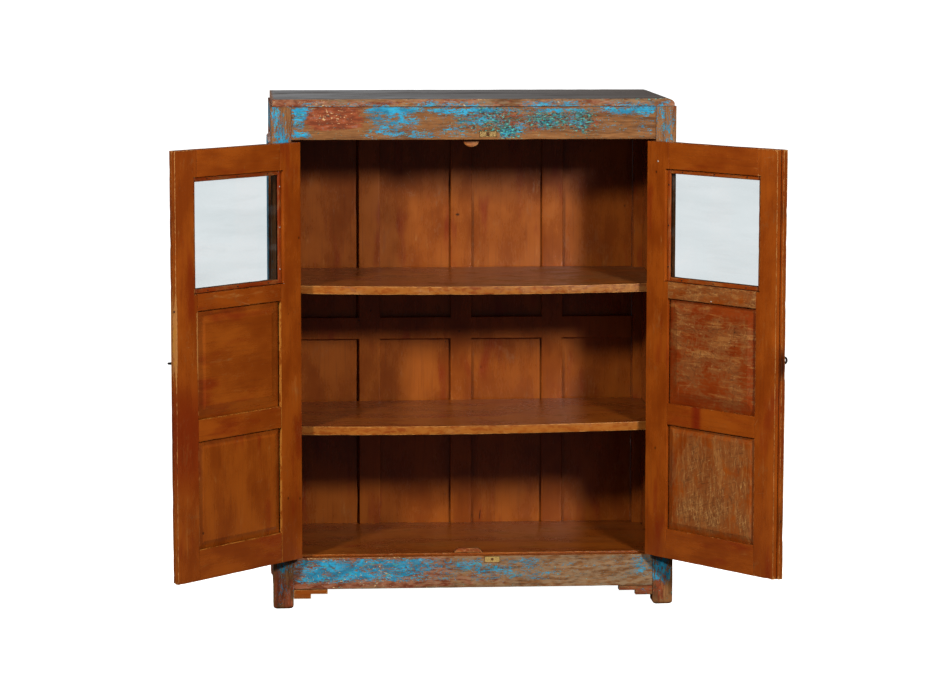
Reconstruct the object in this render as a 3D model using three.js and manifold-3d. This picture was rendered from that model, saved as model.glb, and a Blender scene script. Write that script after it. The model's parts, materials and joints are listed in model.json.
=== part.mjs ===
// Painted two-door cabinet with glazed upper lights, modelled with both doors standing open.
// Millimetres, +Z up, front of the case facing -Y. The object's bounding box is centred on the
// origin in X and Y and stands on Z = 0.
import * as THREE from 'three';
import { mergeVertices } from 'three/addons/utils/BufferGeometryUtils.js';
import Module from 'manifold-3d';

const wasm = await Module();
wasm.setup();

// ---- driving dimensions ---------------------------------------------------------------------
const GAP = 0.3;                 // clearance left between touching pieces
const WIDTH = 900;               // over the corner posts
const DEPTH = 440;
const POST = 45.3;               // face width of a corner post
const POST_DEPTH = 45;
const POST_TOP = 1124;
const FOOT_RADIUS = 6;           // worn round on the lower corners of a post

const TOP_THICKNESS = 17;
const TOP_INSET = 4;             // top board stops short of the posts at each end
const TOP_ROUND = { x: 19, z: 13 };   // rounded-over right end of the top board

const RAIL_THICKNESS = 24;
const TOP_RAIL_BOTTOM = 1051;
const BOTTOM_RAIL = { bottom: 44, top: 116 };

const SIDE_RAIL = { lowerTop: 82, upperBottom: 1063, thickness: 24 };
const SIDE_PANEL = { inset: 9, thickness: 16, proud: 5, bevel: 12 };

const BACK_FACE = 420;           // inner face of the back frame
const BACK_FRAME_THICKNESS = 12;
const MUNTIN = 49.5;
const MUNTIN_PITCH = 215;
const BACK_MID_RAIL = { bottom: 557.5, top: 608.5 };
const BACK_LOWER_EDGE = 60;

const SHELF_FRONT = 28;
const UPPER_SHELF = { top: 727, thickness: 19 };
const MIDDLE_SHELF = { top: 415, thickness: 20 };
const BOTTOM_BOARD = { top: 119, thickness: 20 };

const BRACKET = { long: 76, short: 38.5, upper: 11, lower: 10.5, thickness: 19, setback: 2.5 };
const TOP_STOP = { x: -5, width: 36, bottom: 1033, top: 1076, thickness: 20 };
const BOTTOM_STOP = { x: -11, width: 62, height: 12, bevel: 8, thickness: 22 };

const DOOR = {
  bottom: 119.5, top: 1048, thickness: 23, edgeGap: 2,
  stile: 68.2,                   // both stiles, measured over the meeting lap
  bottomRail: 67, lockRail: { bottom: 421, top: 469 }, glazingRail: { bottom: 703, top: 750 },
  topRailBottom: 979,
};
const MEETING_X = -3;            // middle of the shiplap joint between the two doors
const LAP = { width: 6, gap: 1.5, thickness: 11 };
const LEFT_OPEN = 132.4;         // degrees each door stands open from closed
const RIGHT_OPEN = 126.4;

const REBATE = { width: 10, lip: 8 };       // glazing rebate, cut from the inner face
const GLASS_THICKNESS = 3;
const GROOVE = { depth: 6, width: 8.6 };
const TONGUE = { depth: 5, thickness: 6 };
const FIELD = { rise: 5, upperBevel: 27, lowerBevel: 16 };

const HINGE = {
  height: 76, centres: [228, 938], pivotProud: 3.3, knuckle: 3.2, pin: 1.6, bore: 2.0,
  leaf: 1.7, depth: 22, recess: 1.3, knuckles: 5, axialGap: 0.5, cap: 2.2,
};
const BOLT = {
  topX: 31, bottomX: 41, depth: 6, radius: 2.8, length: 96, withdrawn: 2, travel: 12,
  plate: { width: 18, length: 122, thickness: 1.9, edge: 3 }, channel: 7, bore: 3.5, boreDepth: 14,
  stem: 1.7, knob: 5, knobHeight: 5, knobStandOff: 3, knobFromEnd: 70,
};
const TOP_KEEPER = { x: 30.7, z: 1063.2, width: 36.6, height: 11.8 };
const BOTTOM_KEEPER = { x: 41.4, z: 107.6, width: 33, height: 12.6 };
const KEEPER_THICKNESS = 1.6;
const EYE = { z: 594, ring: 7.4, wire: 1.7, standOff: 9.4, screw: 13, rightX: 5, leftX: -15 };

const INNER = WIDTH / 2 - POST;             // half width between the posts
const PIVOT_X = INNER - DOOR.edgeGap / 2;
const SIDE_FACE = WIDTH / 2 - SIDE_RAIL.thickness - 1;   // inner face of a side panel

// ---- materials ------------------------------------------------------------------------------
const paint = (color, roughness = 0.7, metalness = 0) =>
  new THREE.MeshStandardMaterial({ color, roughness, metalness });
const BLUE = () => paint(0x3f9ab8);
const BROWN = () => paint(0x93451c, 0.5);
const BARE = () => paint(0xa06a3a, 0.75);
const WEATHERED = () => paint(0x5c564f, 0.9);
const BRASS = () => paint(0xb79a55, 0.4, 1);
const IRON = () => paint(0x2e2826, 0.65, 0.9);
const GLASS = () => new THREE.MeshStandardMaterial(
  { color: 0xdde6e8, roughness: 0.1, transparent: true, opacity: 0.35 });

// ---- solids: each geometry becomes a closed manifold, joined or cut, and comes back ------------
function solid(geometry) {
  const bare = geometry.index ? geometry.clone() : geometry;
  for (const name of ['normal', 'uv']) bare.deleteAttribute(name);
  const merged = mergeVertices(bare, 1e-4);
  return new wasm.Manifold(new wasm.Mesh({
    numProp: 3,
    vertProperties: new Float32Array(merged.attributes.position.array),
    triVerts: new Uint32Array(merged.index.array),
  }));
}

function toGeometry(manifold) {
  const mesh = manifold.getMesh();
  const geometry = new THREE.BufferGeometry();
  geometry.setAttribute('position', new THREE.BufferAttribute(mesh.vertProperties, mesh.numProp));
  geometry.setIndex(new THREE.BufferAttribute(mesh.triVerts, 1));
  geometry.computeVertexNormals();
  return geometry;
}

const join = (...parts) => toGeometry(parts.map(solid).reduce((a, b) => a.add(b)));
const cut = (blank, ...tools) => toGeometry(tools.map(solid).reduce((a, b) => a.subtract(b), solid(blank)));

// Box between two corners given in any order.
function block(a, b) {
  const size = a.map((v, i) => Math.abs(b[i] - v));
  const centre = a.map((v, i) => (v + b[i]) / 2);
  return new THREE.BoxGeometry(...size).translate(...centre);
}

// Upright cylinder from z0 to z1.
const rod = (radius, z0, z1, x = 0, y = 0, segments = 16) =>
  new THREE.CylinderGeometry(radius, radius, z1 - z0, segments)
    .rotateX(Math.PI / 2).translate(x, y, (z0 + z1) / 2);

// Outline in X and Z, extruded from y0 to y1.
function profileXZ(points, y0, y1) {
  const shape = new THREE.Shape(points.map(([x, z]) => new THREE.Vector2(x, z)));
  return new THREE.ExtrudeGeometry(shape, { depth: y1 - y0, bevelEnabled: false, curveSegments: 8 })
    .rotateX(Math.PI / 2).translate(0, y1, 0);
}

// Outline in X and Y, extruded from z0 to z1.
function profileXY(points, z0, z1) {
  const shape = new THREE.Shape(points.map(([x, y]) => new THREE.Vector2(x, y)));
  return new THREE.ExtrudeGeometry(shape, { depth: z1 - z0, bevelEnabled: false }).translate(0, 0, z0);
}

const arc = (cx, cz, rx, rz, from, to, steps = 8) =>
  Array.from({ length: steps + 1 }, (_, i) => {
    const a = THREE.MathUtils.degToRad(from + (to - from) * i / steps);
    return [cx + rx * Math.cos(a), cz + rz * Math.sin(a)];
  });

const cabinet = new THREE.Group();

function add(parent, name, geometry, material) {
  const mesh = new THREE.Mesh(geometry, material);
  mesh.name = name;
  parent.add(mesh);
  return mesh;
}

// ---- case: posts ----------------------------------------------------------------------------
function postBlank(x0, x1, y0, y1) {
  const r = FOOT_RADIUS;
  return profileXZ([
    ...arc(x0 + r, r, r, r, 180, 270, 5), ...arc(x1 - r, r, r, r, 270, 360, 5),
    [x1, POST_TOP], [x0, POST_TOP],
  ], y0, y1);
}

// Shallow mortise for a hinge leaf, opening through the front face.
function hingeRecess(x0, x1, centre) {
  const half = HINGE.height / 2 + GAP;
  return block([x0, -1, centre - half], [x1, HINGE.depth - HINGE.pivotProud + GAP, centre + half]);
}

for (const side of [-1, 1]) {
  const label = side < 0 ? 'left' : 'right';
  const [x0, x1] = [side * WIDTH / 2, side * INNER].sort((a, b) => a - b);
  const mortises = HINGE.centres.map(
    (z) => hingeRecess(side * (INNER - 1), side * (INNER + HINGE.recess), z));
  add(cabinet, `front_${label}_post`, cut(postBlank(x0, x1, 0, POST_DEPTH), ...mortises), BLUE());
  add(cabinet, `rear_${label}_post`, postBlank(x0, x1, DEPTH - POST_DEPTH, DEPTH), BLUE());
}

// ---- case: top board and front rails ----------------------------------------------------------
{
  const left = -WIDTH / 2 + TOP_INSET;
  const right = WIDTH / 2 - TOP_INSET;
  const base = POST_TOP + GAP;
  const top = base + TOP_THICKNESS;
  const { x: rx, z: rz } = TOP_ROUND;
  add(cabinet, 'top_board', profileXZ([
    [left, base], [right, base], ...arc(right - rx, top - rz, rx, rz, 0, 90), [left, top],
  ], 0, DEPTH), WEATHERED());
}

const topBore = rod(BOLT.bore, TOP_RAIL_BOTTOM - 1, TOP_RAIL_BOTTOM + BOLT.boreDepth, BOLT.topX, BOLT.depth);
const bottomBore = rod(
  BOLT.bore, BOTTOM_RAIL.top - BOLT.boreDepth, BOTTOM_RAIL.top + 1, BOLT.bottomX, BOLT.depth);

// Pocket let into a rail's face for a keeper plate.
function keeperPocket({ x, z, width, height }) {
  return block([x - width / 2 - GAP, -1, z - height / 2 - GAP],
    [x + width / 2 + GAP, KEEPER_THICKNESS + GAP, z + height / 2 + GAP]);
}

add(cabinet, 'front_top_rail', cut(
  block([-INNER + GAP, 0, TOP_RAIL_BOTTOM], [INNER - GAP, RAIL_THICKNESS, POST_TOP - GAP]),
  topBore, keeperPocket(TOP_KEEPER)), BLUE());
add(cabinet, 'front_bottom_rail', cut(
  block([-INNER + GAP, 0, BOTTOM_RAIL.bottom], [INNER - GAP, RAIL_THICKNESS, BOTTOM_RAIL.top]),
  bottomBore, keeperPocket(BOTTOM_KEEPER)), BLUE());

// ---- case: sides ------------------------------------------------------------------------------
for (const side of [-1, 1]) {
  const label = side < 0 ? 'left' : 'right';
  const [y0, y1] = [POST_DEPTH + GAP, DEPTH - POST_DEPTH - GAP];
  const outer = side * WIDTH / 2;
  const inner = side * (WIDTH / 2 - SIDE_RAIL.thickness);
  add(cabinet, `${label}_side_top_rail`,
    block([outer, y0, SIDE_RAIL.upperBottom], [inner, y1, POST_TOP - GAP]), BLUE());
  add(cabinet, `${label}_side_bottom_rail`,
    block([outer, y0, BOTTOM_RAIL.bottom], [inner, y1, SIDE_RAIL.lowerTop]), BLUE());

  // Raised panel: a slab filling the frame with a bevelled field standing proud outside.
  const [z0, z1] = [SIDE_RAIL.lowerTop + GAP, SIDE_RAIL.upperBottom - GAP];
  const slabOuter = SIDE_FACE + SIDE_PANEL.thickness;
  const fieldInset = SIDE_PANEL.inset + SIDE_PANEL.bevel;
  const field = new THREE.Shape([
    [z0 + fieldInset, y0 + fieldInset], [z1 - fieldInset, y0 + fieldInset],
    [z1 - fieldInset, y1 - fieldInset], [z0 + fieldInset, y1 - fieldInset],
  ].map(([z, y]) => new THREE.Vector2(-z, y)));
  const rise = WIDTH / 2 + SIDE_PANEL.proud - slabOuter;
  const raised = new THREE.ExtrudeGeometry(field, {
    depth: 2, bevelEnabled: true, bevelThickness: rise, bevelSize: SIDE_PANEL.bevel, bevelSegments: 1,
  }).rotateY(Math.PI / 2).translate(slabOuter - 2, 0, 0);
  const slab = block([SIDE_FACE, y0, z0], [slabOuter, y1, z1]);
  const trimmed = cut(raised, block([0, 0, 0], [SIDE_FACE + 1, DEPTH, POST_TOP]));
  const panel = join(slab, trimmed);
  if (side < 0) panel.rotateZ(Math.PI).translate(0, DEPTH, 0);
  add(cabinet, `${label}_side_panel`, panel, BLUE());
}

// ---- case: back -------------------------------------------------------------------------------
{
  const y1 = BACK_FACE + BACK_FRAME_THICKNESS;
  const half = INNER - GAP;
  const rail = (z0, z1) => block([-half, BACK_FACE, z0], [half, y1, z1]);
  const muntin = (x) => block([x - MUNTIN / 2, BACK_FACE, BACK_LOWER_EDGE + 1],
    [x + MUNTIN / 2, y1, POST_TOP - 1]);
  add(cabinet, 'back_frame', join(
    rail(BACK_LOWER_EDGE, BOTTOM_BOARD.top - 1),
    rail(BACK_MID_RAIL.bottom, BACK_MID_RAIL.top),
    rail(SIDE_RAIL.upperBottom, POST_TOP - GAP),
    ...[-1, 0, 1].map((i) => muntin(i * MUNTIN_PITCH)),
  ), BROWN());

  const joints = [-half, -MUNTIN_PITCH, 0, MUNTIN_PITCH, half];
  for (let i = 0; i < 4; i += 1) {
    add(cabinet, `back_board_${i + 1}`, block(
      [joints[i] + (i > 0 ? GAP : 0), y1 + GAP, BACK_LOWER_EDGE],
      [joints[i + 1] - (i < 3 ? GAP : 0), DEPTH, POST_TOP - GAP]), BROWN());
  }
}

// ---- case: shelves and bottom board, notched round the posts -------------------------------------
function notchedBoard(name, front, top, thickness) {
  const narrow = INNER - GAP;
  const wide = SIDE_FACE - GAP;
  const frontNotch = POST_DEPTH + GAP;
  const rearNotch = DEPTH - POST_DEPTH - GAP;
  const back = BACK_FACE - GAP;
  const right = [[narrow, front], [narrow, frontNotch], [wide, frontNotch],
    [wide, rearNotch], [narrow, rearNotch], [narrow, back]];
  const left = right.map(([x, y]) => [-x, y]).reverse();
  add(cabinet, name, profileXY([...right, ...left], top - thickness, top), BROWN());
}
notchedBoard('upper_shelf', SHELF_FRONT, UPPER_SHELF.top, UPPER_SHELF.thickness);
notchedBoard('middle_shelf', SHELF_FRONT, MIDDLE_SHELF.top, MIDDLE_SHELF.thickness);
notchedBoard('bottom_board', RAIL_THICKNESS + GAP, BOTTOM_BOARD.top, BOTTOM_BOARD.thickness);

// ---- case: foot brackets, door stops, keepers -----------------------------------------------------
for (const side of [-1, 1]) {
  const label = side < 0 ? 'left' : 'right';
  const top = BOTTOM_RAIL.bottom - GAP;
  const start = INNER - GAP;
  const outline = [
    [start, top], [start - BRACKET.long, top], [start - BRACKET.long, top - BRACKET.upper],
    [start - BRACKET.short, top - BRACKET.upper],
    [start - BRACKET.short, top - BRACKET.upper - BRACKET.lower],
    [start, top - BRACKET.upper - BRACKET.lower],
  ].map(([x, z]) => [side * x, z]);
  if (side < 0) outline.reverse();
  add(cabinet, `${label}_foot_bracket`,
    profileXZ(outline, BRACKET.setback, BRACKET.setback + BRACKET.thickness), BARE());
}

{
  const r = TOP_STOP.width / 2;
  const y0 = RAIL_THICKNESS + GAP;
  add(cabinet, 'top_door_stop', profileXZ([
    [TOP_STOP.x + r, TOP_STOP.top], [TOP_STOP.x - r, TOP_STOP.top],
    ...arc(TOP_STOP.x, TOP_STOP.bottom + 14, r, 14, 180, 360, 10),
  ], y0, y0 + TOP_STOP.thickness), BARE());

  const half = BOTTOM_STOP.width / 2;
  const base = BOTTOM_BOARD.top + GAP;
  const bevel = BOTTOM_STOP.bevel;
  add(cabinet, 'bottom_door_stop', profileXZ([
    [-half, 0], [half, 0], [half, 3], [half - bevel, BOTTOM_STOP.height],
    [-half + bevel, BOTTOM_STOP.height], [-half, 3],
  ].map(([x, z]) => [BOTTOM_STOP.x + x, base + z]), y0, y0 + BOTTOM_STOP.thickness), BARE());
}

function keeper(name, { x, z, width, height }, opening) {
  const plate = block([x - width / 2, 0, z - height / 2], [x + width / 2, KEEPER_THICKNESS, z + height / 2]);
  add(cabinet, name, cut(plate, opening), BRASS());
}
keeper('top_keeper', TOP_KEEPER,
  block([TOP_KEEPER.x - 4, -1, TOP_KEEPER.z - 4], [TOP_KEEPER.x + 3, KEEPER_THICKNESS + 1, TOP_KEEPER.z + 4]));
keeper('bottom_keeper', BOTTOM_KEEPER,
  rod(3.2, -1, KEEPER_THICKNESS + 1).rotateX(-Math.PI / 2).translate(BOTTOM_KEEPER.x, 0, BOTTOM_KEEPER.z));

// ---- hinges: drawn about the pivot axis, the leaf towards +X on the moving side -------------------
function knuckleSpans() {
  const pitch = HINGE.height / HINGE.knuckles;
  return Array.from({ length: HINGE.knuckles }, (_, i) => {
    const z0 = -HINGE.height / 2 + i * pitch + (i ? HINGE.axialGap / 2 : 0);
    const last = i === HINGE.knuckles - 1;
    return [z0, -HINGE.height / 2 + (i + 1) * pitch - (last ? 0 : HINGE.axialGap / 2)];
  });
}

// A leaf lies beside the pivot plane; sideSign says on which side. Its barrel is relieved where the
// other leaf's knuckles turn.
function hingeLeaf(sideSign, moving) {
  const spans = knuckleSpans();
  const own = spans.filter((_, i) => (i % 2 === 1) === moving);
  const other = spans.filter((_, i) => (i % 2 === 1) !== moving);
  const half = HINGE.height / 2;
  const [xa, xb] = [sideSign * GAP, sideSign * (GAP + HINGE.leaf)];
  const relief = HINGE.knuckle + 0.5;
  const plate = cut(block([xa, 0, -half], [xb, HINGE.depth, half]), ...other.map(
    ([z0, z1], i) => block([xa - 3, -1, i === 0 && !moving ? z0 : z0 - HINGE.axialGap],
      [xb + 3, relief, z1 + HINGE.axialGap])));
  const barrel = own.map(([z0, z1]) => rod(HINGE.knuckle, z0, z1));
  if (!moving) {
    const pin = rod(HINGE.pin, -half - HINGE.cap, half + HINGE.cap);
    return join(plate, ...barrel, pin);
  }
  return cut(join(plate, ...barrel), rod(HINGE.bore, -half - 5, half + 5));
}

// ---- doors --------------------------------------------------------------------------------------
// Drawn closed in the door's own frame: s runs from the pivot towards the meeting edge, t into the
// door from its outer face. side mirrors s for the right-hand door.
function buildDoor(side) {
  const label = side < 0 ? 'left' : 'right';
  const door = new THREE.Group();
  const faceOffset = HINGE.pivotProud;
  const S = (s) => -side * s;
  const part = (s0, s1, t0, t1, z0, z1) =>
    block([S(s0), t0 + faceOffset, z0], [S(s1), t1 + faceOffset, z1]);
  const T = DOOR.thickness;
  const start = DOOR.edgeGap / 2;
  const innerStart = DOOR.stile + start;

  // Meeting edge: the left door's lap is on its inner half, the right door's on its outer half.
  const toMeeting = PIVOT_X + (side < 0 ? MEETING_X : -MEETING_X);
  const lapEnd = toMeeting + LAP.width / 2;
  const shoulder = toMeeting - LAP.width / 2 - LAP.gap;
  const innerEnd = lapEnd - DOOR.stile;

  const panels = [
    { z0: DOOR.bottom + DOOR.bottomRail, z1: DOOR.lockRail.bottom, bevel: FIELD.lowerBevel },
    { z0: DOOR.lockRail.top, z1: DOOR.glazingRail.bottom, bevel: FIELD.upperBevel },
  ];
  const sight = { z0: DOOR.glazingRail.top, z1: DOOR.topRailBottom };
  const rebate = part(innerStart - REBATE.width, innerEnd + REBATE.width, REBATE.lip, T + 1,
    sight.z0 - REBATE.width, sight.z1 + REBATE.width);
  const mid = T / 2;
  const grooves = panels.map(({ z0, z1 }) => part(
    innerStart - GROOVE.depth, innerEnd + GROOVE.depth, mid - GROOVE.width / 2, mid + GROOVE.width / 2,
    z0 - GROOVE.depth, z1 + GROOVE.depth));
  const pocket = DOOR.edgeGap / 2 + HINGE.recess;
  const mortises = HINGE.centres.map((z) => block(
    [S(start - 1), -1, z - HINGE.height / 2 - GAP],
    [S(pocket), HINGE.depth + GAP, z + HINGE.height / 2 + GAP]));

  add(door, `${label}_hinge_stile`, cut(
    part(start, innerStart - GAP, 0, T, DOOR.bottom, DOOR.top), rebate, ...grooves, ...mortises), BROWN());

  const lapCut = side < 0
    ? part(shoulder, lapEnd + 1, -1, T - LAP.thickness, DOOR.bottom - 1, DOOR.top + 1)
    : part(shoulder, lapEnd + 1, LAP.thickness, T + 1, DOOR.bottom - 1, DOOR.top + 1);
  const eyeS = side < 0 ? PIVOT_X + EYE.leftX : PIVOT_X - EYE.rightX;
  const eyeHole = new THREE.CylinderGeometry(EYE.wire + GAP, EYE.wire + GAP, EYE.screw + 2, 16)
    .translate(S(eyeS), faceOffset + EYE.screw / 2, EYE.z);
  const boltCuts = side > 0 ? boltPockets(part) : [];
  add(door, `${label}_meeting_stile`, cut(
    part(innerEnd + GAP, lapEnd, 0, T, DOOR.bottom, DOOR.top),
    rebate, ...grooves, lapCut, eyeHole, ...boltCuts), BROWN());

  const railNames = ['bottom_rail', 'lock_rail', 'glazing_rail', 'top_rail'];
  const railSpans = [
    [DOOR.bottom, DOOR.bottom + DOOR.bottomRail], [DOOR.lockRail.bottom, DOOR.lockRail.top],
    [DOOR.glazingRail.bottom, DOOR.glazingRail.top], [DOOR.topRailBottom, DOOR.top],
  ];
  railSpans.forEach(([z0, z1], i) => {
    add(door, `${label}_door_${railNames[i]}`,
      cut(part(innerStart, innerEnd, 0, T, z0, z1), rebate, ...grooves), BROWN());
  });

  // Raised panels: a tongue all round, and a bevelled field on each face.
  panels.forEach(({ z0, z1, bevel }, i) => {
    const [a, b] = [S(innerStart + bevel), S(innerEnd - bevel)].sort((p, q) => p - q);
    const shape = new THREE.Shape([[a, z0 + bevel], [b, z0 + bevel], [b, z1 - bevel], [a, z1 - bevel]]
      .map(([x, z]) => new THREE.Vector2(x, z)));
    const panel = new THREE.ExtrudeGeometry(shape, {
      depth: TONGUE.thickness, bevelEnabled: true, bevelThickness: FIELD.rise,
      bevelSize: bevel + TONGUE.depth, bevelSegments: 1,
    }).rotateX(Math.PI / 2).translate(0, faceOffset + mid + TONGUE.thickness / 2, 0);
    add(door, `${label}_door_${i ? 'upper' : 'lower'}_panel`, panel, BROWN());
  });

  const paneEdge = REBATE.width - 1.2;
  add(door, `${label}_door_glass`, part(
    innerStart - paneEdge, innerEnd + paneEdge, REBATE.lip + GAP, REBATE.lip + GAP + GLASS_THICKNESS,
    sight.z0 - paneEdge, sight.z1 + paneEdge), GLASS());

  HINGE.centres.forEach((z, i) => {
    const place = i ? 'upper' : 'lower';
    add(door, `${label}_${place}_hinge_door_leaf`, hingeLeaf(-side, true), IRON()).position.z = z;
    const fixed = add(cabinet, `${label}_${place}_hinge_post_leaf`, hingeLeaf(side, false), IRON());
    fixed.position.set(side * PIVOT_X, -HINGE.pivotProud, z);
  });

  // Padlock eye: a ring on a short screw; the left one lies flat, the right one stands upright.
  const ring = new THREE.TorusGeometry(EYE.ring, EYE.wire, 10, 24);
  if (side > 0) ring.rotateY(Math.PI / 2);
  ring.translate(0, -EYE.standOff, 0);
  const neck = EYE.standOff - EYE.ring;
  const shank = new THREE.CylinderGeometry(EYE.wire, EYE.wire, EYE.screw - 1 + neck, 12)
    .translate(0, (EYE.screw - 1 - neck) / 2, 0);
  add(door, `${label}_padlock_eye`, join(ring, shank), IRON()).position.set(S(eyeS), faceOffset, EYE.z);

  if (side > 0) addBolts(door, part);
  door.position.set(side * PIVOT_X, -HINGE.pivotProud, 0);
  door.rotation.z = THREE.MathUtils.degToRad(side < 0 ? -LEFT_OPEN : RIGHT_OPEN);
  cabinet.add(door);
}

// ---- flush bolts in the right door's meeting stile -------------------------------------------------
// up is 1 for the top bolt and -1 for the bottom one; z grows away from the door's own end.
function boltFrame(up) {
  return {
    s: PIVOT_X - (up > 0 ? BOLT.topX : BOLT.bottomX),
    z: (d) => (up > 0 ? DOOR.top - d : DOOR.bottom + d),
  };
}

function boltPockets(part) {
  return [1, -1].flatMap((up) => {
    const { s, z } = boltFrame(up);
    const { width, length, thickness, edge } = BOLT.plate;
    return [
      part(s - width / 2 - GAP, s + width / 2 + GAP, -1, thickness + GAP, z(edge - GAP), z(edge + length + GAP)),
      part(s - BOLT.channel / 2, s + BOLT.channel / 2, thickness, BOLT.depth + BOLT.channel / 2,
        z(-1), z(edge + length - 8)),
    ];
  });
}

function addBolts(door, part) {
  for (const up of [1, -1]) {
    const name = up > 0 ? 'top' : 'bottom';
    const { s, z } = boltFrame(up);
    const { width, length, thickness, edge } = BOLT.plate;
    const knobAt = BOLT.withdrawn + BOLT.knobFromEnd;
    const slotHalf = BOLT.stem + 0.5;
    const slot = part(s - slotHalf, s + slotHalf, -1, thickness + 1,
      z(knobAt - BOLT.travel - slotHalf), z(knobAt + slotHalf));
    add(door, `${name}_bolt_plate`, cut(
      part(s - width / 2, s + width / 2, 0, thickness, z(edge), z(edge + length)), slot), BRASS());

    const ends = [z(BOLT.withdrawn), z(BOLT.withdrawn + BOLT.length)].sort((a, b) => a - b);
    const y = HINGE.pivotProud + BOLT.depth;
    const stemLength = BOLT.depth + BOLT.knobStandOff;
    const stem = new THREE.CylinderGeometry(BOLT.stem, BOLT.stem, stemLength + 1, 12)
      .translate(-s, y - stemLength / 2, z(knobAt));
    const knob = new THREE.CylinderGeometry(BOLT.knob, BOLT.knob * 0.8, BOLT.knobHeight, 16)
      .translate(-s, y - stemLength - BOLT.knobHeight / 2, z(knobAt));
    add(door, `${name}_bolt`, join(rod(BOLT.radius, ...ends, -s, y), stem, knob), BRASS());
  }
}

buildDoor(-1);
buildDoor(1);

// ---- stand the whole object centred on the origin ---------------------------------------------------
cabinet.updateMatrixWorld(true);
const bounds = new THREE.Box3().setFromObject(cabinet, true);
cabinet.position.set(-(bounds.min.x + bounds.max.x) / 2, -(bounds.min.y + bounds.max.y) / 2, -bounds.min.z);

export default cabinet;
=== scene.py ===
import json
import math
import random

import bmesh
import bpy
import numpy as np
from mathutils import Matrix, Vector


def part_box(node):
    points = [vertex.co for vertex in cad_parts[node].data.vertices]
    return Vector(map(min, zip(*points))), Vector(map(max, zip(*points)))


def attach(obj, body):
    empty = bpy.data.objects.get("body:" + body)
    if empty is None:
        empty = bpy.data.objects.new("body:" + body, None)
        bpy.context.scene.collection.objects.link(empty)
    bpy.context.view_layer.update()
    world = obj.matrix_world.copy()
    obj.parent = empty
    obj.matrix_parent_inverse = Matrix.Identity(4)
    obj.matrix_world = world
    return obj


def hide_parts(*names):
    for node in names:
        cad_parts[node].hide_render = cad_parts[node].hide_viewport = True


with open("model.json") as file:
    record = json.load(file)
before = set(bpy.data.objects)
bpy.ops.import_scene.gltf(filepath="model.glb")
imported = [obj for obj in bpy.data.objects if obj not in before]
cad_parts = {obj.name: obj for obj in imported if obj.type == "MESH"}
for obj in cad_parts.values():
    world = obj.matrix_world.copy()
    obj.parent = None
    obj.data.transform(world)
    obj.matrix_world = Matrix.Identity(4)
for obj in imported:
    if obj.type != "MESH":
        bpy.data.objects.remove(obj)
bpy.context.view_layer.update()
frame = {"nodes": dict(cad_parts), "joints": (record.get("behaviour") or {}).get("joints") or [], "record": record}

MM = 0.001

# ---------------------------------------------------------------- places taken from the frame
POST_LEFT, POST_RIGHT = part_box("front_left_post"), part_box("front_right_post")
ORIGIN = Vector(((POST_LEFT[0].x + POST_RIGHT[1].x) / 2, POST_LEFT[0].y, 0))
OPENING = (POST_LEFT[1].x, POST_RIGHT[0].x)
SIDES = ("left", "right")
HINGES = {j["child"]: j for j in frame["joints"] if j["type"] == "hinge"}


def door_pose(side):
    """Turns a shape from its place in the closed door to its place in the open one."""
    joint = HINGES[side + "_door"]
    closing = joint["range_deg"][1 if side == "left" else 0]
    pivot = Matrix.Translation(Vector((joint["pos_m"][0], joint["pos_m"][1], 0)))
    return pivot @ Matrix.Rotation(math.radians(-closing), 4, "Z") @ pivot.inverted()


POSES = {side: door_pose(side) for side in SIDES}
STILL = Matrix.Identity(4)

# ---------------------------------------------------------------- numbers for the wood
OUTSIDE, INSIDE, RAW, TOP = range(4)
DIRECTIONS = {
    "front": (0, -1, 0), "back": (0, 1, 0), "left": (-1, 0, 0),
    "right": (1, 0, 0), "top": (0, 0, 1), "bottom": (0, 0, -1),
}
ROUNDING = 1.1  # mm, the worn radius of an arris
SHARP = math.radians(25)  # an edge that turns more than this is an arris or a crease
SHARP_SHADING = math.radians(50)  # and one that turns more than this is shaded as a corner
ARRIS_REACH = 5 * MM  # how far from an arris the paint is rubbed
CREASE_REACH = 5 * MM  # how far the painted shade and dirt of an inner corner reach
JOINT_REACH = 1.3 * MM  # an arris this near to a neighbour is part of a joint
JOINT_WEAR = 0.2  # the share of wear left at a joint


def value_noise(points, seed):
    """Smooth noise from -1 to 1 at each point."""
    cell = np.floor(points).astype(np.int64)
    part = points - cell
    part = part * part * (3 - 2 * part)
    total = np.zeros(len(points))
    for corner in range(8):
        step = np.array([corner & 1, corner >> 1 & 1, corner >> 2 & 1])
        at = cell + step
        mixed = (at[:, 0] * 73856093) ^ (at[:, 1] * 19349663) ^ (at[:, 2] * 83492791) ^ (seed * 7919)
        mixed = ((mixed ^ (mixed >> 13)) * 1274126177) & 0x7FFFFFFF
        mixed = ((mixed ^ (mixed >> 11)) * 668265263) & 0x7FFFFFFF
        share = np.prod(np.where(step, part, 1 - part), axis=1)
        total += share * (mixed % 65536 / 32767.5 - 1)
    return total


def share_along(points, low, high, axis):
    """How far each point is from low to high along an axis, 0 at low and 1 at high."""
    return (points[:, axis] - low[axis]) / (high[axis] - low[axis])


def patch(values, middle, half, power=4):
    """1 at the middle, and soon next to nothing past half on either side."""
    return np.exp(-((values - middle) / half) ** power)


def moved(points, axis, shift):
    out = points.copy()
    out[:, axis] += shift
    return out


def segment_distance(points, segments):
    """The distance from each point to the nearest of the segments."""
    nearest = np.full(len(points), 1.0)
    for start, end in segments:
        along = end - start
        share = np.clip((points - start) @ along / max(along @ along, 1e-12), 0, 1)
        gap = np.linalg.norm(points - start - share[:, None] * along, axis=1)
        nearest = np.minimum(nearest, gap)
    return nearest


def closed_box(node, pose):
    """A node's lowest and highest corners with its door closed."""
    back = np.array(pose.inverted())
    points = np.array([v.co for v in frame["nodes"][node].data.vertices]) @ back[:3, :3].T + back[:3, 3]
    return points.min(0), points.max(0)


def door_box(side, part):
    return closed_box(f"{side}_{part}", POSES[side])


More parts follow.
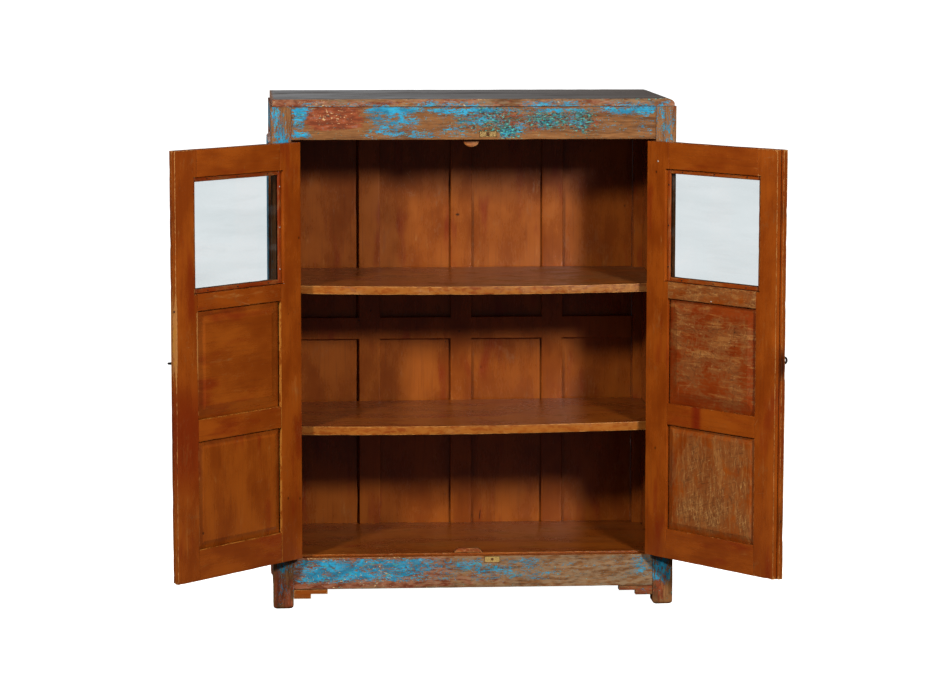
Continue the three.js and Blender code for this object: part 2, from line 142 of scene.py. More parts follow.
def box_group(nodes, pose=STILL):
    return {node: closed_box(node, pose) for node in nodes}


def in_joint(points, node, group):
    """1 where a point of this node lies against a neighbour of its group, else 0."""
    near = np.zeros(len(points), bool)
    for other, (low, high) in group.items():
        if other != node:
            gap = np.maximum(low - points, points - high).max(axis=1)
            near |= gap < JOINT_REACH
    return near.astype(float)


# ---------------------------------------------------------------- boards
def cad_solid(node, pose=STILL):
    """A CAD node's shape at the closed pose, with its flat faces whole."""
    solid = bmesh.new()
    solid.from_mesh(frame["nodes"][node].data)
    solid.transform(pose.inverted())
    bmesh.ops.remove_doubles(solid, verts=solid.verts, dist=0.02 * MM)
    bmesh.ops.dissolve_limit(
        solid, angle_limit=math.radians(1), verts=solid.verts, edges=solid.edges
    )
    return solid


def box_solid(low, high):
    solid = bmesh.new()
    low, high = Vector(low), Vector(high)
    place = Matrix.Translation((low + high) / 2) @ Matrix.Diagonal((*(high - low), 1))
    bmesh.ops.create_cube(solid, size=1, matrix=place)
    return solid


def slice_along(solid, axis, places):
    """Cuts the solid's faces at each place along an axis, and keeps both sides."""
    normal = Vector([float(k == axis) for k in range(3)])
    for place in places:
        bmesh.ops.bisect_plane(
            solid, geom=solid.verts[:] + solid.edges[:] + solid.faces[:],
            dist=1e-6, plane_co=normal * place, plane_no=normal,
        )


def even_places(low, high, step):
    count = max(1, round((high - low) / step))
    return [low + (high - low) * k / count for k in range(1, count)]


def edge_ends(solid):
    """The ends of the edges that stand out, and of those that turn in."""
    out, turned_in = [], []
    for edge in solid.edges:
        if len(edge.link_faces) != 2:
            continue
        angle = edge.calc_face_angle_signed(0)
        if abs(angle) > SHARP:
            ends = tuple(np.array(v.co) for v in edge.verts)
            (out if angle > 0 else turned_in).append(ends)
    return out, turned_in


def soften(solid, radius):
    """Rounds the edges that stand out."""
    worn = [
        e for e in solid.edges
        if len(e.link_faces) == 2 and e.calc_face_angle_signed(0) > SHARP and e.calc_length() > 3 * MM
    ]
    bmesh.ops.bevel(
        solid, geom=worn, offset=radius, offset_type="OFFSET", segments=2,
        profile=0.5, affect="EDGES", clamp_overlap=True,
    )


def spread(value, points):
    return value(points) if callable(value) else np.full(len(points), float(value))


def board(solid, name, grain, skin, cell=(12, 8), rounding=ROUNDING, chips=1.0, waves=0.12,
          bend=None, coat=None, scuff=0.15, fade=1.0, rub=1.0, cuts=(), group=None, sunk=None,
          lip=None, dark=0.0):
    """One piece of wood as arrays. grain is the axis its fibres follow, and skin says which
    finish each of its sides has. Everything it loses to wear goes inwards. rub scales the
    wear of its arrises, sunk is the finish of a front face that lies deeper than the rest, and
    lip is a box whose faces inside it are bare. dark adds painted shade, knots and splits."""
    axis = "xyz".index(grain)
    out, turned_in = edge_ends(solid)
    soften(solid, rounding * MM)
    corners = np.array([v.co for v in solid.verts])
    low, high = corners.min(0), corners.max(0)
    for k in range(3):
        step = cell[0] if k == axis else cell[1]
        slice_along(solid, k, even_places(low[k], high[k], step * MM))
    for k, places in cuts:
        slice_along(solid, k, places)
    solid.normal_update()
    points = np.array([v.co for v in solid.verts])
    normals = np.array([v.normal for v in solid.verts])
    chance = random.Random(name)
    shift = np.array([chance.uniform(0, 40) for _ in range(3)])
    across = sorted((k for k in range(3) if k != axis), key=lambda k: low[k] - high[k])
    local = points[:, [axis, *across]] + shift
    loose = 1 - (1 - JOINT_WEAR) * in_joint(points, name, group or {})

    arris = segment_distance(points, out) if out else np.ones(len(points))
    crease = segment_distance(points, turned_in) if turned_in else np.ones(len(points))
    long_wave = value_noise(local * (4, 14, 14), 1)
    small_wave = value_noise(local * (16, 60, 60), 2)
    loss = waves * (0.5 + 0.3 * long_wave + 0.2 * small_wave)
    dent = np.clip(value_noise(local * (45, 130, 130), 3) - 0.25, 0, 1) * 1.6
    smooth = np.clip(value_noise(local * (7, 20, 20), 4) + 0.2, 0, 1)
    loss += chips * loose * np.exp(-arris / (1.8 * MM)) * (0.9 * dent + 0.5 * smooth)
    points = points - normals * loss[:, None] * MM
    if bend:
        points = bend(points)

    names = list(DIRECTIONS)
    sides = np.array(list(DIRECTIONS.values()))
    facing = np.argmax(np.array([f.normal for f in solid.faces]) @ sides.T, axis=1)
    finish = [skin.get(names[k], skin.get("rest", INSIDE)) for k in facing]
    centres = np.array([f.calc_center_median() for f in solid.faces])
    if sunk is not None:
        deeper = centres[:, 1] - low[1] > 0.8 * MM
        finish = [sunk if deep and names[k] == "front" else done
                  for deep, k, done in zip(deeper, facing, finish)]
    if lip is not None:
        bare = np.all((centres > lip[0]) & (centres < lip[1]), axis=1)
        finish = [RAW if plain and names[k] != "front" else done
                  for plain, k, done in zip(bare, facing, finish)]
    blue, primer = coat(points) if coat else worn_coat(points)
    solid.verts.index_update()
    result = {
        "points": points,
        "faces": [[v.index for v in f.verts] for f in solid.faces],
        "finish": finish,
        "grain": local,
        "wear": np.exp(-arris / ARRIS_REACH) * loose * spread(rub, points),
        # crease: painted shade and dirt towards inner corners, with dark added to it
        "crease": np.exp(-crease / CREASE_REACH) + spread(dark, points),
        "blue": blue,
        "primer": primer,
        "scuff": spread(scuff, points),
        "fade": spread(fade, points),
    }
    solid.free()
    return result


def place_object(name, data):
    """Puts new data into the scene as an object."""
    made = bpy.data.objects.new(name, data)
    bpy.context.scene.collection.objects.link(made)
    return made


def settle(piece, body, replaced=()):
    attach(piece, body)
    if replaced:
        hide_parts(*replaced)


def make_piece(name, made, body, replaced=(), pose=STILL):
    """Turns a board's arrays into an object that rides on a body."""
    mesh = bpy.data.meshes.new(name)
    mesh.from_pydata(made["points"].tolist(), [], made["faces"])
    mesh.transform(pose)
    used = sorted(set(made["finish"]))
    for finish in used:
        mesh.materials.append(MATERIALS[finish])
    mesh.polygons.foreach_set("material_index", [used.index(f) for f in made["finish"]])
    for key in ("wear", "crease", "blue", "primer", "scuff", "fade"):
        layer = mesh.attributes.new(key, "FLOAT", "POINT")
        layer.data.foreach_set("value", made[key].astype(np.float32))
    grain = mesh.attributes.new("grain", "FLOAT_VECTOR", "POINT")
    grain.data.foreach_set("vector", made["grain"].astype(np.float32).ravel())
    mesh.shade_smooth()
    mesh.set_sharp_from_angle(angle=SHARP_SHADING)
    piece = place_object(name, mesh)
    piece.modifiers.new("flat_faces", "WEIGHTED_NORMAL").keep_sharp = True
    settle(piece, body, replaced)


# ---------------------------------------------------------------- where paint is left
def spots(points, rail, blobs):
    """Adds up soft spots on a rail. Each is (place along x, place up z, half length, half
    height, amount), the first four as shares of the rail."""
    u, v = (share_along(points, *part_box(rail), axis) for axis in (0, 2))
    total = np.zeros(len(points))
    for at_u, at_v, half_u, half_v, amount in blobs:
        far = ((u - at_u) / half_u) ** 4 + ((v - at_v) / half_v) ** 4
        total += amount * np.exp(-far)
    return total


def worn_coat(points):
    """Blue and primer left on an ordinary outer face. Near the floor the blue is nearly gone."""
    slow = value_noise(points * 5, 21)
    near_floor = np.exp(-points[:, 2] / 0.11)
    return 0.50 + 0.14 * slow - 0.4 * near_floor, 0.60 + 0.12 * slow + 0.1 * near_floor


def post_coat(bare_below, blue, foot_blue, foot_primer):
    """A post's paint: how much blue is left on it, and how both coats change at its foot, which
    mops and shoes have worn."""
    def coat(points):
        foot = np.clip((bare_below - points[:, 2]) / 0.03 + 0.5, 0, 1)
        slow = value_noise(points * (30, 30, 11), 22)
        quick = value_noise(points * (70, 70, 42), 24)
        primer = 0.46 + 0.15 * slow + foot_primer * foot
        return blue + 0.13 * slow + 0.16 * quick + foot_blue * foot, primer
    return coat


def top_rail_coat(points):
    blue = 0.27 + spots(points, "front_top_rail", (
        (0.02, 0.5, 0.04, 0.9, 0.30), (0.5, 1.0, 0.6, 0.18, 0.31), (0.27, 0.7, 0.08, 0.4, 0.23),
        (0.29, 0.05, 0.12, 0.22, 0.24), (0.50, 0.12, 0.12, 0.22, 0.16), (0.50, 0.65, 0.08, 0.3, 0.18),
        (0.93, 0.93, 0.09, 0.2, 0.18), (0.98, 0.4, 0.03, 0.6, 0.14), (0.60, 0.25, 0.04, 0.3, 0.18),
        (0.74, 0.55, 0.11, 0.28, 0.14), (0.12, 0.6, 0.08, 0.45, -0.4),
    ))
    primer = 0.26 + spots(points, "front_top_rail", (
        (0.115, 0.66, 0.082, 0.36, 0.58), (0.55, 0.6, 0.07, 0.5, 0.26), (0.74, 0.6, 0.12, 0.3, 0.24),
        (0.5, 1.0, 0.6, 0.14, 0.15),
    ))
    return blue, primer


def top_rail_flakes(points):
    """Where the top rail's old layers have broken into dark and green flakes."""
    return 0.15 + spots(points, "front_top_rail", (
        (0.49, 0.6, 0.05, 0.45, 0.5), (0.57, 0.55, 0.05, 0.5, 0.7), (0.70, 0.6, 0.06, 0.28, 0.95),
        (0.80, 0.55, 0.035, 0.4, 0.9), (0.60, 0.2, 0.03, 0.25, 0.5),
    ))


def bottom_rail_coat(points):
    blue = 0.39 + spots(points, "front_bottom_rail", (
        (0.08, 0.6, 0.08, 0.6, 0.14), (0.25, 0.6, 0.12, 0.5, 0.16), (0.45, 0.8, 0.12, 0.3, 0.08),
        (0.63, 0.6, 0.12, 0.45, 0.05), (0.97, 0.8, 0.04, 0.4, 0.12), (0.4, 0.02, 0.6, 0.2, -0.2),
        (0.82, 0.4, 0.12, 0.5, -0.10),
    ))
    primer = 0.44 + spots(points, "front_bottom_rail", (
        (0.15, 0.5, 0.3, 0.7, 0.33), (0.8, 0.4, 0.25, 0.6, -0.22),
    ))
    return blue, primer


def top_edge_coat(points):
    slow = value_noise(points * (14, 5, 5), 23)
    low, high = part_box("top_board")
    left = np.clip(1 - (points[:, 0] - low.x) / (0.25 * (high.x - low.x)), 0, 1)
    lower_half = points[:, 2] < low.z + 8 * MM
    blue = 0.42 + 0.14 * slow - 0.16 * left + 0.09 * lower_half
    return blue, 0.58 + 0.16 * slow + 0.12 * left


# ---------------------------------------------------------------- materials
def linear(red, green, blue):
    """A colour given in the usual 0 to 255 steps, as light."""
    def step(value):
        value /= 255
        return value / 12.92 if value <= 0.04045 else ((value + 0.055) / 1.055) ** 2.4
    return (step(red), step(green), step(blue), 1)


class Look:
    """The nodes of a material or of the room, added one at a time. places is where its textures
    are read, and colour is what has been laid on so far."""

    def __init__(self, name, kind=bpy.data.materials):
        self.owner = kind.new(name)
        self.owner.use_nodes = True
        self.tree = self.owner.node_tree
        self.tree.nodes.clear()
        self.places = self.colour = None

    def add(self, kind, inputs=(), **settings):
        """Adds a node. Another node given as an input stands for its first output."""
        node = self.tree.nodes.new("ShaderNode" + kind)
        for key, value in settings.items():
            setattr(node, key, value)
        for key, value in dict(inputs).items():
            if isinstance(value, bpy.types.Node):
                value = value.outputs[0]
            if isinstance(value, bpy.types.NodeSocket):
                self.tree.links.new(value, node.inputs[key])
            else:
                node.inputs[key].default_value = value
        return node

    def attribute(self, name, output="Fac"):
        return self.add("Attribute", attribute_name=name).outputs[output]

    def stretched(self, scale, shift=(0, 0, 0), places=None):
        """The places where a texture is read. A scale of two numbers is along and across the grain."""
        return self.add("Mapping", {
            "Vector": places or self.places, "Scale": (*scale, scale[-1])[:3], "Location": shift,
        })

    def noise(self, scale, detail=3.0, roughness=0.55, distortion=0.0, shift=(0, 0, 0), places=None):
        return self.add("TexNoise", {
            "Vector": self.stretched(scale, shift, places), "Scale": 1.0, "Detail": detail,
            "Roughness": roughness, "Distortion": distortion,
        })

    def cells(self, scale, feature):
        """Distances in a pattern of random cells."""
        return self.add("TexVoronoi", {"Vector": self.stretched(scale), "Scale": 1.0}, feature=feature)

    def math(self, operation, a, b):
        return self.add("Math", {0: a, 1: b}, operation=operation)

    def times(self, a, b):
        return self.math("MULTIPLY", a, b)

    def flip(self, value):
        """1 where the value is 0, and 0 where it is 1."""
        return self.math("SUBTRACT", 1, value)

    def weigh(self, *terms):
        """The sum of value times weight."""
        total = None
        for value, weight in terms:
            part = self.times(value, weight)
            total = part if total is None else self.math("ADD", total, part)
        return total

    def step(self, value, low, high):
        """0 below low, 1 above high, smooth between."""
        return self.add("MapRange", {
            "Value": value, "From Min": low, "From Max": high,
        }, interpolation_type="SMOOTHSTEP", clamp=True)

    def mix(self, share, a, b):
        """a where share is 0, b where it is 1. Three numbers are a colour in 0 to 255 steps."""
        a, b = (linear(*c) if isinstance(c, tuple) and len(c) == 3 else c for c in (a, b))
        return self.add("Mix", {0: share, 6: a, 7: b}, data_type="RGBA").outputs[2]

    def lay(self, tone, share, amount=None):
        """Lays a tone over the colour so far, where share is 1, and only by amount."""
        share = share if amount is None else self.times(share, amount)
        self.colour = self.mix(share, self.colour, tone)

    def bump(self, height, distance, strength):
        return self.add("Bump", {"Height": height, "Distance": distance, "Strength": strength})

    def show(self, shader):
        self.add("OutputMaterial", {"Surface": shader})
        return self.owner

    def surface(self, roughness, **inputs):
        """An ordinary surface in the colour that has been laid on."""
        inputs = {key.replace("_", " "): value for key, value in inputs.items()}
        inputs |= {"Base Color": self.colour, "Roughness": roughness}
        return self.show(self.add("BsdfPrincipled", inputs))


def wood_look(name):
    """A look whose textures follow each board's own grain."""
    look = Look(name)
    look.places = look.attribute("grain", "Vector")
    return look


def solid_look(name):
    """A look whose textures stay fixed in space round the object."""
    look = Look(name)
    look.places = look.add("TexCoord").outputs["Object"]
    return look


def lay_bare_wood(look, dark, middle, pale):
    """Bare wood: fibres, growth bands and stains. Returns its tone, which is also its height."""
    fibres = look.noise((30, 420), 5, 0.65)
    bands = look.noise((5, 70), 4, 0.6, 0.5)
    stain = look.noise((14, 28), 5, 0.62)
    tone = look.weigh((fibres, 0.5), (bands, 0.5))
    look.colour = look.mix(look.step(tone, 0.36, 0.54), dark, middle)
    look.lay(pale, look.step(tone, 0.5, 0.66), 0.7)
    look.lay(dark, look.step(stain, 0.5, 0.7), 0.6)
    return tone


def outside_paint():
    """Blue over brick-red primer over bare wood, each flaking along the grain."""
    look = wood_look("worn_blue_paint")
    wear, blue, primer = (look.attribute(k) for k in ("wear", "blue", "primer"))
    crease, scuff, fade = (look.attribute(k) for k in ("crease", "scuff", "fade"))
    tone = lay_bare_wood(look, (100, 64, 36), (146, 100, 58), (176, 128, 80))

    streaks = look.noise((95, 430), 5, 0.72)
    patches = look.noise((26, 62), 6, 0.66, 0.6)
    specks = look.noise((340, 620), 3, 0.65)
    ground = look.weigh((streaks, 0.40), (patches, 0.32), (specks, 0.28))
    ragged = look.weigh((ground, 1.0), (blue, 0.42), (wear, -0.13))
    blue_left = look.step(ragged, 0.694, 0.714)
    under = look.noise((38, 230), 5, 0.66, shift=(7, 3, 1))
    under_patches = look.noise((10, 36), 4, 0.6, shift=(2, 9, 4))
    ragged_red = look.weigh((under, 0.42), (under_patches, 0.40), (specks, 0.18), (primer, 0.42),
                            (wear, -0.10))
    red_left = look.step(ragged_red, 0.695, 0.735)

    haze = look.noise((44, 150), 4, 0.6, shift=(1, 1, 8))
    red = look.mix(look.step(haze, 0.4, 0.62), (124, 58, 30), (162, 84, 46))
    red = look.mix(look.times(look.step(haze, 0.58, 0.72), 0.6), red, (168, 132, 122))
    shade = look.noise((26, 60), 4, 0.6, shift=(4, 4, 2))
    sky = look.mix(look.step(shade, 0.36, 0.62), (32, 130, 162), (52, 172, 208))
    sky = look.mix(look.step(look.noise((90, 150), 3), 0.58, 0.70), sky, (84, 166, 160))
    deep = look.step(look.noise((110, 170), 4, 0.7, shift=(8, 8, 1)), 0.52, 0.60)
    sky = look.mix(look.times(deep, 0.3), sky, (26, 92, 108))
    grime = look.step(look.noise((70, 190), 4, 0.7, shift=(3, 5, 5)), 0.54, 0.72)

    look.lay(red, red_left, 0.9)
    rim = look.math("SUBTRACT", look.step(ragged, 0.655, 0.70), blue_left)
    look.lay((118, 128, 124), rim, 0.5)
    chalk = look.times(look.flip(fade), look.step(haze, 0.36, 0.62))
    look.lay((176, 150, 108), chalk, 0.6)
    look.lay(sky, blue_left)
    chip_ground = look.noise((120, 210), 3, 0.7, 0.6, shift=(2, 6, 6))
    chips = look.step(look.weigh((chip_ground, 1), (primer, 0.50), (wear, 0.05)), 1.02, 1.04)
    look.lay((222, 192, 142), chips, 0.9)
    broken = look.noise((120, 230), 4, 0.7, 0.8, shift=(5, 7, 7))
    flakes = look.step(look.weigh((broken, 1), (scuff, 0.19)), 0.655, 0.675)
    tints = look.noise((140, 260), 2, 0.6, shift=(9, 2, 3))
    flake = look.mix(look.step(tints, 0.44, 0.50), (66, 46, 36), (34, 128, 124))
    flake = look.mix(look.step(tints, 0.56, 0.62), flake, (104, 196, 182))
    look.lay(flake, flakes, 0.8)
    look.lay((176, 170, 158), chalk, 0.28)
    # grime, and painted shade towards inner corners, laid on as one dark brown
    dirt_and_corner_shade = look.math("MAXIMUM", look.times(grime, 0.4), look.step(crease, 0.5, 1.3))
    look.lay((56, 42, 33), dirt_and_corner_shade)
    height = look.weigh((blue_left, 0.6), (red_left, 0.3), (tone, 0.6), (specks, 0.15))
    rough = look.math("SUBTRACT", 0.76, look.weigh((blue_left, 0.2), (red_left, 0.06)))
    return look.surface(rough, Normal=look.bump(height, 0.35 * MM, 0.9), Specular_IOR_Level=0.3)


def strokes(look, scale, angles, shift):
    """Noise drawn out in several directions across the grain, the strongest of them winning."""
    result = None
    for k, angle in enumerate(angles):
        turned = look.add("Mapping", {"Vector": look.places, "Rotation": (0, 0, angle)})
        one = look.noise(scale, 4, 0.62, 0.25, (shift + k, 2 * k, shift), turned)
        result = one if result is None else look.math("MAXIMUM", result, one)
    return result


def inside_paint():
    """Orange-brown oil paint, brushed on, rubbed at the arrises and scratched."""
    look = wood_look("orange_brown_paint")
    wear, crease, scuff, fade = (look.attribute(k) for k in ("wear", "crease", "scuff", "fade"))
    mottle = look.noise((7, 13), 4, 0.55)
    brushed = look.noise((9, 260), 4, 0.6)
    fine = look.noise((90, 340), 3, 0.6)
    # fresh is the doors' copy of this paint and old the case's. The case's copy is paler and duller: painted
    # sheen, for the light its back catches.
    fresh = look.mix(look.step(mottle, 0.34, 0.66), (146, 70, 14), (170, 90, 22))
    old = look.mix(look.step(mottle, 0.34, 0.66), (140, 72, 18), (166, 94, 26))
    look.colour = look.mix(fade, fresh, old)
    reddish = look.step(look.noise((6, 22), 3, 0.5, shift=(5, 2, 6)), 0.55, 0.72)
    redness = look.math("MAXIMUM", look.times(reddish, 0.55), look.times(fade, -1))
    look.lay((132, 40, 12), redness)
    streak = look.times(look.step(brushed, 0.5, 0.7), 0.22)
    look.lay((100, 42, 10), streak)

    # rubbed patches, where an older brown coat and pale wood come through
    cloud = look.noise((13, 18), 5, 0.62, 0.5, shift=(9, 1, 3))
    ragged = look.noise((90, 150), 5, 0.72, shift=(3, 3, 3))
    combed = look.noise((34, 360), 5, 0.68, 0.3, shift=(2, 2, 5))
    rubbed = look.weigh((cloud, 0.44), (ragged, 0.28), (combed, 0.28), (scuff, 0.20))
    brown = look.step(rubbed, 0.59, 0.70)
    look.lay((148, 94, 46), brown, 0.72)
    smear = look.noise((12, 95, 60), 5, 0.7, 0.6, shift=(4, 8, 2))
    tan = look.step(look.weigh((smear, 0.72), (cloud, 0.28), (scuff, 0.13)), 0.60, 0.72)
    look.lay((184, 126, 66), tan, 0.6)
    nicks = strokes(look, (30, 240, 60), (0.15, -0.5, 1.3), 3)
    dark_nicks = look.step(look.weigh((nicks, 0.66), (cloud, 0.34), (scuff, 0.15)), 0.685, 0.745)
    look.lay((84, 42, 18), dark_nicks, 0.42)
    flecks = strokes(look, (36, 360, 60), (0.05, -0.24, 1.1), 11)
    flecked = look.weigh((flecks, 0.58), (cloud, 0.20), (ragged, 0.22), (scuff, 0.15))
    pale = look.step(flecked, 0.70, 0.765)
    look.lay((208, 160, 98), pale, 0.6)

    # thin scratches, in groups
    groups = look.noise((10, 15), 3, 0.5, shift=(6, 6, 6))
    group = look.step(look.weigh((groups, 1), (scuff, 0.24)), 0.60, 0.74)
    hair = look.step(strokes(look, (22, 420, 60), (0.12, -0.3, 0.6, 1.4), 21), 0.66, 0.71)
    scratch = look.times(hair, group)
    look.lay((206, 166, 120), scratch, 0.4)

    # small dark pits and stains
    pit_groups = look.step(look.noise((9, 12), 2, 0.5, shift=(8, 2, 2)), 0.60, 0.68)
    pit = look.times(look.flip(look.step(look.cells((30, 44), "F1"), 0.06, 0.13)), pit_groups)
    look.lay((46, 20, 8), pit, 0.7)

    # arrises rubbed pale, inner corners darkened with painted shade and with old varnish and dirt
    chipped = look.noise((55, 120), 5, 0.7, 0.5, shift=(7, 7, 1))
    dark_edge = look.times(look.step(wear, 0.62, 0.95), look.step(chipped, 0.36, 0.52))
    look.lay((70, 28, 10), dark_edge, 0.5)
    worn_edge = look.step(look.weigh((wear, 1), (fine, 0.4), (chipped, 0.6)), 1.32, 1.42)
    look.lay((204, 146, 84), worn_edge, 0.75)
    # bare wood laid on: hand wear, the shelves' front edges, and a painted highlight beside the left door's panels
    bare = look.times(look.step(fade, 1.15, 1.6), look.step(chipped, 0.44, 0.50))
    look.lay((196, 138, 62), bare, 0.85)
    # painted shade: dark brown towards inner corners, with old varnish and dirt
    look.lay((50, 18, 8), look.step(crease, 0.66, 1), 0.85)
    height = look.weigh((brushed, 0.5), (fine, 0.15), (scratch, -0.4), (brown, -0.2), (pit, -1.0))
    rough = look.weigh((mottle, 0.22), (brown, 0.22), (fine, 0.08), (scuff, 0.08))
    return look.surface(look.math("ADD", rough, 0.11), Normal=look.bump(height, 0.3 * MM, 0.5),
                        Specular_IOR_Level=0.45)


def raw_wood():
    """Unpainted wood at the back, underneath and on sawn ends, brown with age."""
    look = wood_look("aged_bare_wood")
    tone = lay_bare_wood(look, (78, 48, 28), (128, 82, 46), (158, 112, 68))
    grey = look.step(look.noise((8, 20), 4, 0.6, shift=(2, 2, 7)), 0.45, 0.7)
    look.lay((106, 92, 78), grey, 0.4)
    # painted shade: near-black towards inner corners and down bores
    look.lay((26, 16, 10), look.step(look.attribute("crease"), 0.35, 1))
    saw = look.noise((420, 6), 2, 0.5)
    height = look.weigh((tone, 0.8), (saw, 0.15))
    return look.surface(0.82, Normal=look.bump(height, 0.4 * MM, 0.9), Specular_IOR_Level=0.25)


def weathered_wood():
    """The top: grey-brown, ridged along the grain, with dark cracks."""
    look = wood_look("weathered_top_wood")
    wear = look.attribute("wear")
    ridges = look.noise((5, 330), 5, 0.62)
    bands = look.noise((2, 40), 4, 0.55, 0.5)
    stain = look.noise((5, 9), 4, 0.55)
    tone = look.weigh((ridges, 0.5), (bands, 0.5))
    look.colour = look.mix(look.step(tone, 0.36, 0.62), (70, 69, 70), (172, 171, 172))
    stained = look.times(look.step(stain, 0.45, 0.65), 0.5)
    brown = look.math("MAXIMUM", stained, look.attribute("scuff"))
    look.lay((92, 76, 64), brown)
    crack = look.flip(look.step(look.cells((2.2, 60), "DISTANCE_TO_EDGE"), 0.01, 0.03))
    crack = look.times(crack, look.step(stain, 0.42, 0.55))
    look.lay((24, 18, 14), crack, 0.8)
    look.lay((150, 98, 54), look.step(wear, 0.55, 0.95), 0.7)
    height = look.weigh((tone, 1.0), (crack, -0.8))
    rough = look.math("ADD", look.times(ridges, 0.3), 0.42)
    return look.surface(rough, Normal=look.bump(height, 0.5 * MM, 0.9), Specular_IOR_Level=0.5)


def old_brass(name, bright, dull):
    look = solid_look(name)
    cloudy = look.noise((620, 620), 4, 0.6)
    marks = look.noise((900, 120, 900), 3, 0.6)
    look.colour = look.mix(look.step(cloudy, 0.38, 0.66), bright, dull)
    look.lay((70, 52, 32), look.step(marks, 0.55, 0.7), 0.3)
    rough = look.math("ADD", look.times(marks, 0.25), 0.42)
    return look.surface(rough, Metallic=0.7, Normal=look.bump(marks, 0.08 * MM, 0.6))


def old_iron():
    look = solid_look("old_iron")
    pits = look.noise((420, 420), 5, 0.7)
    rust = look.step(look.noise((120, 120), 4, 0.6), 0.46, 0.62)
    look.colour = look.mix(rust, (46, 42, 40), (92, 50, 30))
    rough = look.math("ADD", look.times(pits, 0.3), 0.4)
    return look.surface(rough, Metallic=0.55, Normal=look.bump(pits, 0.15 * MM, 0.7))


def nail_steel():
    look = solid_look("nail_steel")
    dull = look.noise((700, 700), 3, 0.6)
    look.colour = look.mix(look.step(dull, 0.4, 0.62), (226, 220, 212), (150, 136, 122))
    return look.surface(0.45, Metallic=0.2)


def old_glass():
    """Thin drawn sheet: it lets most light through, and mirrors a little in slow waves."""
    look = solid_look("old_window_glass")
    waves = look.noise((3, 3, 16), 2, 0.5)
    dust = look.noise((6, 6, 34), 3, 0.5)
    # the tint's slow lighter and darker bands are painted reflections and shade
    tint = look.mix(look.step(waves, 0.35, 0.65), (0.800, 0.828, 0.836, 1), (0.826, 0.850, 0.858, 1))
    clear = look.add("BsdfTransparent", {"Color": tint})
    bent = look.bump(waves, 2.0 * MM, 0.5)
    shine = look.add("BsdfGlossy", {"Roughness": 0.03, "Normal": bent})
    film = look.add("BsdfDiffuse", {"Color": (0.7, 0.72, 0.72, 1)})
    facing = look.add("LayerWeight", {"Blend": 0.5}).outputs["Facing"]
    edge = look.math("ADD", look.times(look.math("POWER", facing, 4), 0.5), 0.03)
    hazy = look.add("MixShader", {
        0: look.times(look.step(dust, 0.45, 0.75), 0.05), 1: clear, 2: film,
    })
    both = look.add("MixShader", {0: edge, 1: hazy, 2: shine})
    return look.show(both)


MATERIALS = {
    OUTSIDE: outside_paint(), INSIDE: inside_paint(), RAW: raw_wood(), TOP: weathered_wood(),
}
BRASS = {
    "top": old_brass("dark_brass", (180, 152, 100), (92, 70, 40)),
    "bottom": old_brass("pale_brass", (232, 200, 130), (186, 150, 90)),
}
IRON, NAIL, GLASS = old_iron(), nail_steel(), old_glass()


# ---------------------------------------------------------------- the case
FOOT_ROUNDING = 8 * MM
FOOT_CUTS = (0.8, 1.8, 3.2, 5, 7.4)  # mm, the heights of the rings of points round a foot
PLANK_SEAMS = (0.36, 0.70)  # where the top's planks meet, as shares of its depth
TOP_SKIN = 3 * MM  # how deep the weather has worked into the top
UPPER_SAG = 5.5  # mm
MIDDLE_SAG, MIDDLE_LEAN = 5.0, 5.0  # mm
MUNTIN_HALF = 24.75 * MM
GAP_WIDTH = 3 * MM
KNOT = (ORIGIN.x - 8 * MM, 850 * MM)  # x and z of a knot in the second muntin
SPLIT = (ORIGIN.x + 46 * MM, 135 * MM)  # and of a short split in the third back board
CASE_GROUP = box_group([n for n in frame["record"]["behaviour"]["bodies"]["case"]
                        if n.endswith(("post", "rail", "panel", "top_board"))])


def case_piece(node, grain, skin, slot_name="case_wood", **work):
    made = board(cad_solid(node), node, grain, skin, group=CASE_GROUP, **work)
    make_piece(node + "_worn", made, "case", [node])


def rounded_foot(node):
    """Draws a post's lowest few millimetres in, as if worn round."""
    low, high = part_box(node)
    middle, half = np.array((low + high) / 2)[:2], np.array((high - low) / 2)[:2]

    def bend(points):
        out = points.copy()
        down = np.clip(FOOT_ROUNDING - (points[:, 2] - low.z), 0, FOOT_ROUNDING)
        inset = FOOT_ROUNDING - np.sqrt(FOOT_ROUNDING ** 2 - down ** 2)
        out[:, :2] = middle + (points[:, :2] - middle) * (1 - inset[:, None] / half)
        return out
    return bend


def posts():
    coats = {
        "left": post_coat(bare_below=0.075, blue=0.50, foot_blue=-0.12, foot_primer=0.16),
        "right": post_coat(bare_below=0.046, blue=0.55, foot_blue=-0.5, foot_primer=0.1),
    }
    for end in ("front", "rear"):
        for side in SIDES:
            node = f"{end}_{side}_post"
            skin = {side: OUTSIDE, "bottom": RAW, "top": RAW, "rest": INSIDE}
            skin["front" if end == "front" else "back"] = OUTSIDE if end == "front" else RAW
            case_piece(node, "z", skin, cell=(10, 6), coat=coats[side], bend=rounded_foot(node),
                       rub=1.0 if end == "front" else 0.25, cuts=[(2, [h * MM for h in FOOT_CUTS])])


def rails():
    def chalkier(points):
        """The bottom rail's paint is chalkier towards the right."""
        return 0.8 - 0.5 * (points[:, 0] - OPENING[0]) / (OPENING[1] - OPENING[0])

    case_piece("front_top_rail", "x", {"front": OUTSIDE}, cell=(8, 6), coat=top_rail_coat,
               scuff=top_rail_flakes, sunk=RAW)
    case_piece("front_bottom_rail", "x", {"front": OUTSIDE, "bottom": RAW}, cell=(8, 6),
               coat=bottom_rail_coat, scuff=0.1, fade=chalkier, sunk=RAW)
    for side in SIDES:
        for level in ("top", "bottom"):
            case_piece(f"{side}_side_{level}_rail", "y", {side: OUTSIDE, "bottom": RAW}, cell=(12, 8),
                       rub=0.5)
        case_piece(f"{side}_side_panel", "z", {side: OUTSIDE}, cell=(16, 12), rub=0.3)


